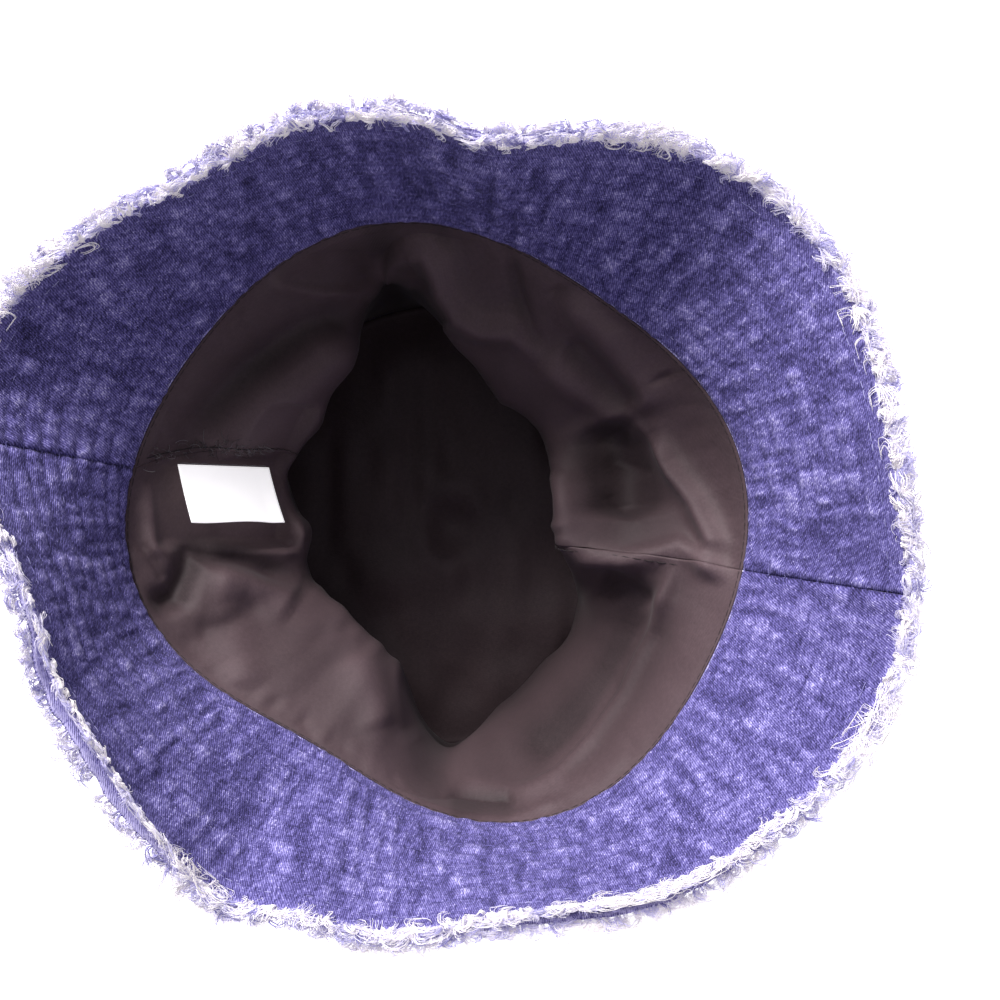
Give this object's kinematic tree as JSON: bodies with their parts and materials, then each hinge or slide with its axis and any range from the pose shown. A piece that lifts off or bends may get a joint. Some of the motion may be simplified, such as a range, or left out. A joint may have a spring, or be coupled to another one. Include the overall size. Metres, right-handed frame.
{
  "type": "bucket hat",
  "caption": "Soft bucket hat of quilted denim with a sloping brim, frayed double brim edge, dark loose lining and a sewn-in blank care label, lying crown down.",
  "frame": {"origin": "middle of the crown top's outer face, on the surface that the hat lies on", "axes": "+Z out of the head opening, as the hat lies crown down; the side seams are near -X and +X, the front panels on the -Y side and the back panels on the +Y side"},
  "size_m": [0.2704, 0.2325, 0.1511],
  "materials": {
    "denim_crown": "washed indigo twill, matt",
    "denim_brim": "washed indigo twill, puckered by the quilting rows, matt",
    "fringe_yarn": "loose cotton yarn, lilac white with cream ends",
    "interlining_canvas": "plain canvas, hidden between the brim's plies",
    "lining_poplin": "dark brown black poplin with a soft satin sheen",
    "denim_thread": "blue sewing thread, tone on tone",
    "lining_thread": "black sewing thread",
    "label_satin": "white satin ribbon, blank"
  },
  "bodies": {
    "hat": {"crown_side_front": "denim_crown", "crown_side_back": "denim_crown", "lining_side_front": "lining_poplin", "lining_side_back": "lining_poplin", "brim_upper_front": "denim_brim", "brim_upper_back": "denim_brim", "brim_under_front": "denim_brim", "brim_under_back": "denim_brim", "brim_interlining_front": "interlining_canvas", "brim_interlining_back": "interlining_canvas", "brim_stitch_row_1": "denim_thread", "brim_stitch_row_2": "denim_thread", "brim_stitch_row_3": "denim_thread", "brim_stitch_row_4": "denim_thread", "brim_stitch_row_5": "denim_thread", "brim_stitch_row_6": "denim_thread", "brim_stitch_row_7": "denim_thread", "brim_stitch_row_8": "denim_thread", "head_seam_stitching": "denim_thread", "lining_hem_stitching": "lining_thread", "crown_seam_stitching_left": "denim_thread", "crown_seam_stitching_right": "denim_thread", "lining_seam_thread_left": "lining_thread", "lining_seam_thread_right": "lining_thread", "label_stitching": "lining_thread"},
    "crown_top_panel": {"crown_top": "denim_crown", "lining_top": "lining_poplin", "crown_edge_stitching": "denim_thread"},
    "brim_edge": {"fringe_upper_front": "fringe_yarn", "fringe_upper_back": "fringe_yarn", "fringe_under_front": "fringe_yarn", "fringe_under_back": "fringe_yarn", "brim_stitch_row_9": "denim_thread"},
    "label": {"care_label": "label_satin"}
  },
  "joints": [
    {"name": "crown_collapse", "type": "slide", "parent": "hat", "child": "crown_top_panel", "axis": [0, 0, 1], "range_m": [0, 0.028], "stiffness_N_per_m": 120, "deforming": ["crown_side_front", "crown_side_back", "lining_side_front", "lining_side_back", "crown_seam_stitching_left", "crown_seam_stitching_right", "lining_seam_thread_left", "lining_seam_thread_right"]},
    {"name": "brim_flex", "type": "slide", "parent": "hat", "child": "brim_edge", "axis": [0, 0, 1], "range_m": [-0.022, 0.01], "stiffness_N_per_m": 100, "deforming": ["brim_upper_front", "brim_upper_back", "brim_under_front", "brim_under_back", "brim_interlining_front", "brim_interlining_back", "brim_stitch_row_1", "brim_stitch_row_2", "brim_stitch_row_3", "brim_stitch_row_4", "brim_stitch_row_5", "brim_stitch_row_6", "brim_stitch_row_7", "brim_stitch_row_8"]},
    {"name": "label_flip", "type": "hinge", "parent": "hat", "child": "label", "pos_m": [-0.06821, 0.01884, 0.0665], "axis": [-0.7731, 0.0196, 0.634], "range_deg": [-26, 114]}
  ]
}
